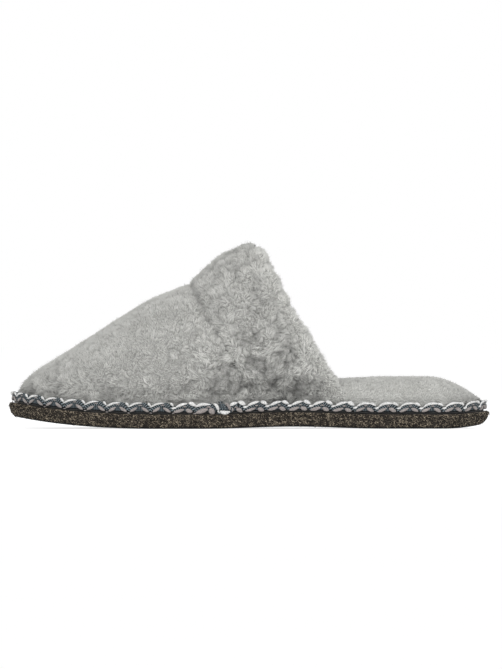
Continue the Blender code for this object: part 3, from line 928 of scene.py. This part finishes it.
# One period of each form of the plait: (phase, height in mm) points, then the strand's half widths up
# the wall and outwards, and how far it stands out, in mm.
TOE_FORM = {
    "white": [
        ([(-0.04, 3.9), (0.10, 4.7), (0.26, 5.7), (0.44, 6.2), (0.62, 6.3)], 0.60, 0.5, 1.6),
        ([(0.86, 6.4), (0.92, 5.8), (1.0, 4.6)], 0.66, 0.6, 1.7),
    ],
    "rose": [
        ([(0.08, 1.5), (0.24, 2.6), (0.41, 3.9)], 0.85, 0.5, 1.3),
        ([(0.57, 3.9), (0.73, 2.6), (0.89, 1.4)], 0.85, 0.5, 1.3),
        ([(0.44, 5.1), (0.52, 5.25), (0.60, 5.15)], 0.32, 0.3, 1.5),
        ([(0.95, 0.75), (1.0, 0.8), (1.06, 0.75)], 0.32, 0.3, 1.2),
    ],
}
MIDDLE_FORM = {
    "white": [
        ([(0.09, 4.3), (0.25, 5.2), (0.42, 6.0), (0.62, 6.4)], 0.80, 0.6, 1.6),
        ([(-0.08, 3.6), (0.0, 3.7), (0.14, 4.1)], 0.62, 0.5, 1.6),
        ([(0.66, 6.4), (0.80, 6.0), (0.97, 4.9)], 1.05, 0.7, 1.7),
    ],
    "rose": [
        ([(0.0, 1.5), (0.22, 2.1), (0.47, 3.1)], 0.95, 0.5, 1.3),
        ([(0.54, 2.7), (0.68, 2.1), (0.83, 1.5)], 1.25, 0.6, 1.35),
        ([(0.44, 4.2), (0.51, 4.3), (0.59, 4.2)], 0.4, 0.3, 1.4),
    ],
}
HEEL_FORM = {
    "white": [
        ([(0.06, 3.9), (0.20, 5.2), (0.38, 6.0), (0.58, 6.1), (0.72, 6.0)], 0.66, 0.5, 1.6),
        ([(0.68, 6.1), (0.82, 5.9), (0.96, 4.9)], 0.75, 0.6, 1.7),
        ([(-0.10, 3.4), (0.0, 3.4), (0.10, 4.1)], 0.62, 0.5, 1.6),
    ],
    "rose": [
        ([(0.04, 1.6), (0.22, 2.5), (0.44, 3.7)], 0.85, 0.5, 1.3),
        ([(0.53, 3.5), (0.68, 2.7), (0.84, 1.7)], 1.05, 0.5, 1.3),
        ([(0.42, 4.7), (0.49, 4.8), (0.57, 4.7)], 0.34, 0.3, 1.5),
    ],
}


def rim_path():
    """The braid's line round the sole, from the join towards the heel: (t, y) points and how far along."""
    ring = rim_ring(TAPE_INSET, 0.0)[:, :2] + np.array([LENGTH / 2, 0])
    ring = ring[::-1]
    outer = np.where(ring[:, 1] < middle(ring[:, 0]))[0]
    first = outer[np.argmin(np.abs(ring[outer, 0] - JOIN_T))]
    ring = np.roll(ring, -first, axis=0)
    ring = np.concatenate([ring, ring[:1]])
    lengths = np.concatenate([[0], np.cumsum(np.linalg.norm(np.diff(ring, axis=0), axis=1))])
    return ring, lengths


RIM, RIM_LENGTHS = rim_path()
RIM_TOTAL = RIM_LENGTHS[-1]
PLAIT_LENGTH = RIM_TOTAL - PLAIT_START - PLAIT_END
PERIODS = round(PLAIT_LENGTH / USUAL_PERIOD)
PERIOD = PLAIT_LENGTH / PERIODS


def rim_at(u):
    """The (t, y) points at distances u along the braid."""
    return np.stack([np.interp(u % RIM_TOTAL, RIM_LENGTHS, RIM[:, k]) for k in (0, 1)], -1)


def on_rim(u, height, outwards):
    """Points at distances u along the braid, heights above its foot and distances out from the tape."""
    u = u % RIM_TOTAL
    spots = rim_at(u)
    step = 1.5 * MM
    along = unit(rim_at(u + step) - rim_at(u - step))
    out = np.stack([along[..., 1], -along[..., 0]], -1)
    base = place(spots[..., 0], spots[..., 1], BRAID_FOOT + height)
    base[..., :2] += out * np.asarray(outwards)[..., None]
    return base, np.concatenate([out, np.zeros(out.shape[:-1] + (1,))], -1)


def strand(u, height, outwards, wide, deep, sides, twist=0.0, ply=0.0):
    """Points and faces of one strand: an oval tube through on_rim places, closed at both ends."""
    line, out = on_rim(u, height, outwards)
    tangent = unit(np.gradient(line, axis=0))
    up = unit(np.cross(tangent, out))
    out = np.cross(up, tangent)
    angle = 2 * np.pi * np.arange(sides) / sides
    swell = 1 + ply * np.cos(3 * (angle[None] + twist * u[:, None]))
    wide, deep = (np.broadcast_to(value, u.shape)[:, None, None] for value in (wide, deep))
    rise, reach = np.cos(angle)[None, :, None], np.sin(angle)[None, :, None]
    ring = up[:, None] * rise * wide + out[:, None] * reach * deep
    points = (line[:, None] + ring * swell[..., None]).reshape(-1, 3)
    faces = grid_faces(len(u), sides, wrap=True).tolist()
    last = (len(u) - 1) * sides
    faces.append(list(range(sides)))
    faces.append([last + k for k in reversed(range(sides))])
    return points, faces


def strands_piece(name, strands, material, replaced=(), shades=None):
    points, faces = [], []
    for new_points, new_faces in strands:
        first = sum(len(p) for p in points)
        points.append(new_points)
        faces += [[first + k for k in face] for face in new_faces]
    mesh = bpy.data.meshes.new(name)
    mesh.from_pydata(np.concatenate(points).tolist(), [], faces)
    if shades is not None:
        shade_points(mesh, np.concatenate(shades))
    face_out(mesh)
    return add_piece(name, mesh, material, replaced)


def hump(p, points):
    """A smooth closed wave through (phase, value) points."""
    points = [(q - 1, v) for q, v in points[-2:]] + list(points) + [(q + 1, v) for q, v in points[:2]]
    return through(points, p * MM) / MM


def short_strand(points, wide, deep, detail=13):
    """A strand through (u, height, out) points in metres, thickest in its middle, with rounded ends."""
    spots = np.array(points, float)
    knots = np.linspace(0, 1, len(spots))
    s = (1 - np.cos(np.pi * np.linspace(0, 1, detail))) / 2
    u, height, out = (through(list(zip(knots, spots[:, k])), s * MM) / MM for k in range(3))
    swell = np.clip(np.sin(np.pi * (0.015 + 0.97 * s)), 0, 1) ** 0.55
    wide, deep = wide * MM * swell, deep * MM * (0.3 + 0.7 * swell)
    return strand(u, height, out, wide, deep, STRAND_SIDES, 900, 0.05)


def form_at(u):
    """The plait's form at u: it loosens behind the join and is rounder at the heel."""
    t = rim_at(u)[..., 0]
    if t < 96 * MM:
        return TOE_FORM
    return MIDDLE_FORM if t < 196 * MM else HEEL_FORM


def plaited(part):
    """All the short strands of one colour, period by period, each a little different."""
    made = []
    for period in range(PERIODS):
        start = PLAIT_START + period * PERIOD
        for points, wide, deep, out in form_at(start + PERIOD / 2)[part]:
            slide, up = random.normal(size=2) * (0.012, 0.08)
            places = [(start + (p + slide) * PERIOD, (h + up) * MM, out * MM) for p, h in points]
            u, h, o = places[len(places) // 2]
            places[len(places) // 2] = (u, h, o + 0.35 * MM)
            made.append(short_strand(places, wide * random.normal(1, 0.05), deep))
    return made


def make_braid():
    white = yarn_material("white_yarn", (0.30, 0.30, 0.295), (0.66, 0.66, 0.65))
    slate = slate_material()
    rose = yarn_material("rose_yarn", (0.13, 0.117, 0.112), (0.29, 0.262, 0.252))
    strands_piece("braid_white_strands", plaited("white"), white, ["braid_white_cord"])
    strands_piece("braid_rose_strands", plaited("rose"), rose, ["braid_rose_cord"])

    u = np.linspace(6.0 * MM, RIM_TOTAL - 2.5 * MM, SLATE_STEPS)
    wave = wave_height(u)
    cords, shades = [], []
    for k, (rise, out, thick) in enumerate(((0.85, 0.9, 0.5), (0.1, 1.2, 0.42), (-0.65, 1.05, 0.42))):
        height = np.clip(wave + rise * MM, 0.9 * MM, 6.2 * MM)
        cords.append(strand(u, height, np.full(u.shape, out * MM), thick * MM, 0.42 * MM, 6))
        dots = 0.5 + 0.5 * np.cos(2 * np.pi * (u / STITCH + 0.5 * k))
        shades.append(np.repeat(dots, 6))
    strands_piece("braid_slate_strands", cords, slate, ["braid_tape"], shades)
    make_tape(slate)
    return white, slate, rose


def wave_height(u):
    """How high the slate waves run at u, in step with the white strand's scallops."""
    p = ((u - PLAIT_START) / PERIOD) % 1.0
    t = rim_at(u)[..., 0]
    sharp = hump(p, [(0, 2.7), (0.15, 3.9), (0.35, 4.9), (0.52, 5.3), (0.7, 5.3), (0.85, 4.4), (0.95, 3.1)])
    soft = hump(p, [(0, 2.4), (0.15, 3.5), (0.35, 4.6), (0.5, 5.1), (0.66, 5.0), (0.82, 4.1), (0.94, 2.8)])
    return (sharp + (soft - sharp) * smooth_step(90 * MM, 100 * MM, t)) * MM


def slate_material():
    """Slate yarn: rows of light and dark stitches."""
    made = Shader("slate_yarn", roughness=0.9)
    stops = [(0.12, (0.003, 0.004, 0.005)), (0.5, (0.045, 0.056, 0.064)), (0.95, (0.22, 0.26, 0.28))]
    dots = made.ramp(made.shade(), stops)
    fleck = made.ramp(made.noise(0.6 * MM, 3, 0.7), [(0.36, (0.35,) * 3), (0.6, (1.0,) * 3)])
    made.colour(made.multiply(dots, fleck))
    made.bump(made.noise(0.3 * MM, 2), 0.15 * MM)
    return made.material


def make_tape(slate):
    """The dark ground of the braid: a wall of fine upright ribs whose top follows the scallops, with its
    lowest rings painted black.
    """
    u = np.linspace(0, RIM_TOTAL, TAPE_STEPS, endpoint=False)
    ribs = round(RIM_TOTAL / RIB)
    rib = 0.5 + 0.5 * np.cos(2 * np.pi * u * ribs / RIM_TOTAL)
    joined = smooth_step(0, 1.5 * MM, u) * (1 - smooth_step(RIM_TOTAL - 6 * MM, RIM_TOTAL - 3 * MM, u))
    top = 5.6 * MM + (np.minimum(wave_height(u) + 1.0 * MM, 6.1 * MM) - 5.6 * MM) * joined
    foot = 1.7 * MM
    shares = ((0.04, 0.75), (0.25, 0.75), (0.5, 0.75), (0.75, 0.65), (0.92, 0.4), (1.0, -0.1), (0.97, -1.2))
    # Shade 0 paints the lowest rings black: painted shadow in the gap between braid and felt.
    levels = [(h * MM, d, 0.0 * rib) for h, d in ((1.6, -1.2), (1.3, -0.2), (1.4, 0.4), (1.7, 0.7))]
    levels += [(foot + (top - foot) * share, d, 0.28 + 0.45 * rib) for share, d in shares]
    rings, shades = [], []
    for height, d, shade in levels:
        rings.append(on_rim(u, height, (d + 0.35 * rib * (d > 0)) * MM)[0])
        shades.append(shade)
    rings = np.stack(rings + [rings[0]])
    mesh = fill_mesh("braid_ground", rings.reshape(-1, 3), grid_faces(len(rings), len(u), wrap=True))
    shade_points(mesh, np.stack(shades + [shades[0]]))
    face_out(mesh)
    add_piece("braid_ground", mesh, slate)


def join_strand(points, wide, deep=0.6):
    return short_strand([(u * MM, h * MM, out * MM) for u, h, out in points], wide, deep, JOIN_STEPS)


def make_join(white, slate, rose):
    """Where the braid's two ends meet and are folded together, on the outer side."""
    whites = [
        ([(-14.8, 4.4, 1.5), (-12.4, 5.3, 1.8), (-10.2, 5.8, 1.8), (-6.0, 5.6, 1.5)], 0.9),
        ([(-17.8, 6.2, 1.5), (-16.6, 5.9, 1.7), (-15.2, 4.8, 1.5)], 0.8),
        ([(-4.4, 6.0, 1.4), (-3.0, 5.2, 2.1), (-2.1, 3.6, 2.2), (-1.5, 2.0, 1.6)], 0.9, 0.7),
        ([(-2.3, 2.0, 1.5), (-1.5, 1.3, 1.9), (-0.8, 0.7, 1.5)], 0.5),
        ([(-0.6, 1.9, 1.6), (0.6, 1.1, 2.3), (2.6, 0.9, 2.4), (4.9, 1.4, 1.8)], 1.15, 0.8),
        ([(4.8, 4.7, 1.5), (6.6, 5.7, 1.8), (9.1, 6.4, 1.5)], 0.95),
        ([(9.6, 6.7, 1.5), (11.6, 6.1, 1.8), (13.6, 4.9, 1.5)], 1.25, 0.7),
    ]
    whites = [join_strand(*path) for path in whites]
    strands_piece("braid_join_white", whites, white, ["braid_join_tab"])
    roses = [
        ([(-14.3, 0.9, 1.3), (-11.0, 2.0, 1.6), (-7.6, 3.1, 1.3)], 1.3),
        ([(-6.9, 3.0, 1.3), (-5.5, 1.9, 1.7), (-4.0, 0.4, 1.3)], 1.7),
        ([(-8.6, 4.0, 1.4), (-7.2, 4.3, 1.6), (-5.9, 4.0, 1.4)], 0.42, 0.3),
        ([(-15.8, 0.5, 1.2), (-14.9, 0.6, 1.4), (-14.0, 0.5, 1.2)], 0.38, 0.3),
        ([(2.4, 6.2, 1.5), (3.6, 5.2, 2.2), (4.5, 3.8, 2.2), (5.0, 2.2, 1.7)], 0.85),
        ([(6.1, 3.7, 1.2), (6.5, 2.6, 1.6), (6.2, 1.3, 1.2)], 0.5),
        ([(7.4, 3.6, 1.4), (8.3, 3.8, 1.6), (9.3, 3.6, 1.4)], 0.4, 0.3),
        ([(8.5, 2.8, 1.3), (10.1, 2.2, 1.7), (11.9, 1.0, 1.3)], 1.2),
    ]
    roses = [join_strand(*path) for path in roses]
    strands_piece("braid_join_rose", roses, rose)
    slates = [
        ([(-1.4, 5.9, 1.3), (0.4, 5.4, 1.9), (2.4, 5.0, 1.6)], 0.75),
        ([(-1.6, 4.8, 1.3), (0.5, 4.3, 1.9), (3.0, 3.9, 1.6)], 0.75),
        ([(-1.2, 3.6, 1.3), (0.9, 3.1, 1.9), (3.7, 2.8, 1.6)], 0.75),
        ([(-1.8, 6.7, 1.0), (-0.4, 6.9, 1.5), (1.0, 6.7, 1.0)], 0.45),
        ([(5.4, 5.6, 1.0), (5.7, 3.4, 1.5), (5.5, 0.8, 1.2)], 0.45),
        ([(-4.9, 5.6, 1.2), (-3.6, 3.6, 1.6), (-3.0, 1.0, 1.2)], 0.45),
        ([(-2.6, 0.7, 1.2), (-1.2, 0.5, 1.5), (0.0, 0.6, 1.2)], 0.45),
        ([(4.9, 4.1, 1.3), (7.4, 4.8, 1.4), (10.4, 4.9, 1.4), (13.6, 3.4, 1.3)], 0.5),
    ]
    slates = [join_strand(*path) for path in slates]
    shades = [np.repeat(0.5 + 0.5 * np.cos(np.arange(JOIN_STEPS) * 2.1), STRAND_SIDES)] * len(slates)
    strands_piece("braid_join_slate", slates, slate, shades=shades)


# ---- pieces kept from the CAD model


def dress_kept_nodes():
    looks = {
        "insole_board": inner_material("board", (0.35, 0.29, 0.21), (0.50, 0.43, 0.32), 2 * MM),
        "upper_interlining": inner_material("interlining", (0.6, 0.6, 0.58), (0.8, 0.8, 0.78), 1 * MM),
        "vamp_seam_thread": yarn_material("thread", (0.10, 0.10, 0.10), (0.24, 0.24, 0.23), 0.4 * MM),
        # The sole's seam thread is near black: dark thread, and painted shadow in the gap between braid and
        # felt.
        "sole_seam_thread": yarn_material("sole_thread", (0.01, 0.01, 0.01), (0.04, 0.04, 0.04), 0.4 * MM),
    }
    for node, material in looks.items():
        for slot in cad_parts[node].material_slots:
            slot.material = material


# ---- studio


def make_studio():
    floor_mesh = bpy.data.meshes.new("floor")
    corners = [(x * FLOOR_REACH, y * FLOOR_REACH, 0) for x, y in ((-1, -1), (1, -1), (1, 1), (-1, 1))]
    floor_mesh.from_pydata(corners, [], [(0, 1, 2, 3)])
    floor = add_object("floor", floor_mesh)
    surface = Shader("floor", roughness=0.9)
    set_inputs(surface.principled, {"Specular IOR Level": 0, "Emission Color": (1, 1, 1, 1)})
    set_inputs(surface.principled, {"Emission Strength": FLOOR_GLOW})
    surface.colour(surface.ramp(surface.noise(0.4, 2), [(0.0, (0.48,) * 3), (1.0, (0.50,) * 3)]))
    floor_mesh.materials.append(surface.material)

    world = bpy.data.worlds.new("studio")
    world.use_nodes = True
    bpy.context.scene.world = world
    tree = world.node_tree
    seen = tree.nodes["Background"]
    set_inputs(seen, {"Color": (1, 1, 1, 1), "Strength": 1})
    ambient = tree.nodes.new("ShaderNodeBackground")
    set_inputs(ambient, {"Color": (1, 1, 1, 1), "Strength": AMBIENT_LEVEL})
    path = tree.nodes.new("ShaderNodeLightPath")
    mix = tree.nodes.new("ShaderNodeMixShader")
    tree.links.new(path.outputs["Is Camera Ray"], mix.inputs["Fac"])
    tree.links.new(ambient.outputs["Background"], mix.inputs[1])
    tree.links.new(seen.outputs["Background"], mix.inputs[2])
    tree.links.new(mix.outputs["Shader"], tree.nodes["World Output"].inputs["Surface"])

    lamps = [
        ("key_light", (-0.4, -1.7, 1.1), 1.6, 32.0),
        ("heel_light", (1.4, -1.3, 0.7), 1.2, 12.0),
        ("top_light", (0.0, 0.5, 1.3), 1.2, 2.0),
    ]
    for name, where, size, power in lamps:
        data = bpy.data.lights.new(name, "AREA")
        data.size = size
        data.energy = power
        lamp = add_object(name, data)
        lamp.location = where
        lamp.rotation_euler = (LAMPS_AIM - lamp.location).to_track_quat("-Z", "Y").to_euler()
    bpy.context.scene.view_settings.view_transform = "Standard"


def make_camera():
    """A long lens at half the slipper's height, aimed straight at its outer side."""
    data = bpy.data.cameras.new("camera")
    data.sensor_width = SENSOR
    data.lens = SENSOR * CAMERA_DISTANCE / FRAME_HEIGHT
    data.clip_end = 200
    camera = add_object("camera", data)
    camera.location = CAMERA_TARGET + Vector((0, -CAMERA_DISTANCE, 0))
    camera.rotation_euler = (math.pi / 2, 0, 0)
    bpy.context.scene.camera = camera


# ---- everything together

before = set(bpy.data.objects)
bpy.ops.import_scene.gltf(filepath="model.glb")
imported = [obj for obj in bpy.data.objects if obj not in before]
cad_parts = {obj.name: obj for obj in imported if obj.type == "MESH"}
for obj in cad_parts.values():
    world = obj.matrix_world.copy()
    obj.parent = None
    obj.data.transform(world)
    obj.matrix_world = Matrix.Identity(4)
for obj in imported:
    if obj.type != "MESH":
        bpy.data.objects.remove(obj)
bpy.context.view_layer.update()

make_camera()
make_studio()
fleece_pile = pile_material("fleece_pile", 0.61)
roll_pile = pile_material("roll_pile", 0.74)
lining_pile = pile_material("lining_pile", 0.62)
insole_pile = pile_material("insole_pile", 0.60)
# The grounds are darker than their piles: painted shade among the fibres.
fleece_ground = ground_material("fleece_ground", 0.36)
lining_ground = ground_material("lining_ground", 0.42)
make_sole()
make_upper(fleece_pile, fleece_ground)
make_roll(roll_pile, fleece_ground)
make_lining(lining_pile, lining_ground)
make_insole(insole_pile, lining_ground)
yarns = make_braid()
make_join(*yarns)
dress_kept_nodes()
